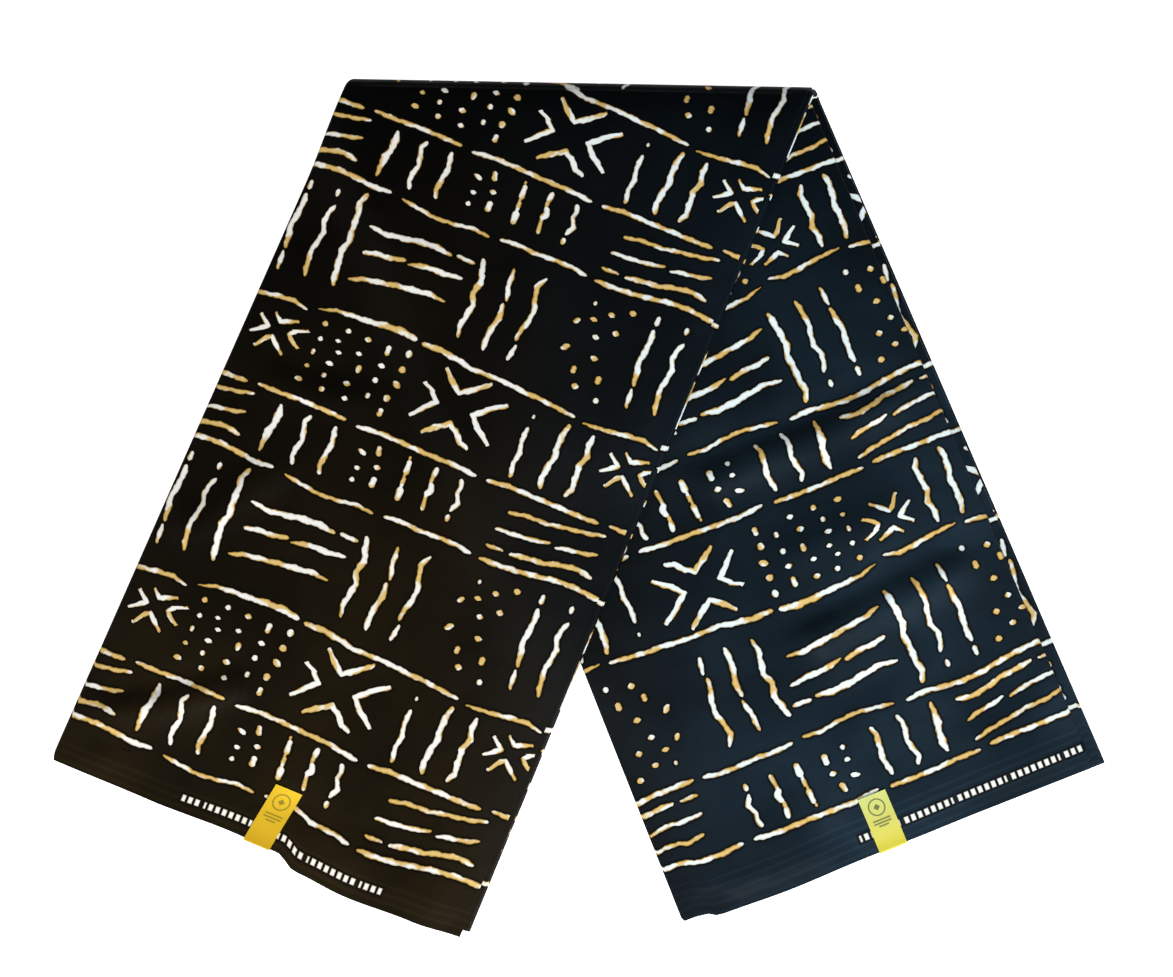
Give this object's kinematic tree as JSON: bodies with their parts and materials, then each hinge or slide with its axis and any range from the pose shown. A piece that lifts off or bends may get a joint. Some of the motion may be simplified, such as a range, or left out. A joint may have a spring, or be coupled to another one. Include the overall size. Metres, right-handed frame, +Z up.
{
  "type": "wax print fabric",
  "caption": "Cut length of printed cotton, folded into a long layered strip and laid over itself in two spread legs, with a paper label over the edge at each end.",
  "frame": {"origin": "middle of the footprint, on the surface that the cloth lies on", "axes": "+X to the right along the top fold, +Y from the legs' ends towards the top fold, +Z up"},
  "size_m": [0.7281, 0.6061, 0.0182],
  "materials": {
    "printed_cotton": "close plain weave cotton, near-black ground with cream and ochre hand-drawn marks, faint starch sheen",
    "gold_paper": "satin gold paper"
  },
  "bodies": {
    "root": {"cloth": "printed_cotton", "label_left": "gold_paper", "label_right": "gold_paper"}
  },
  "joints": []
}
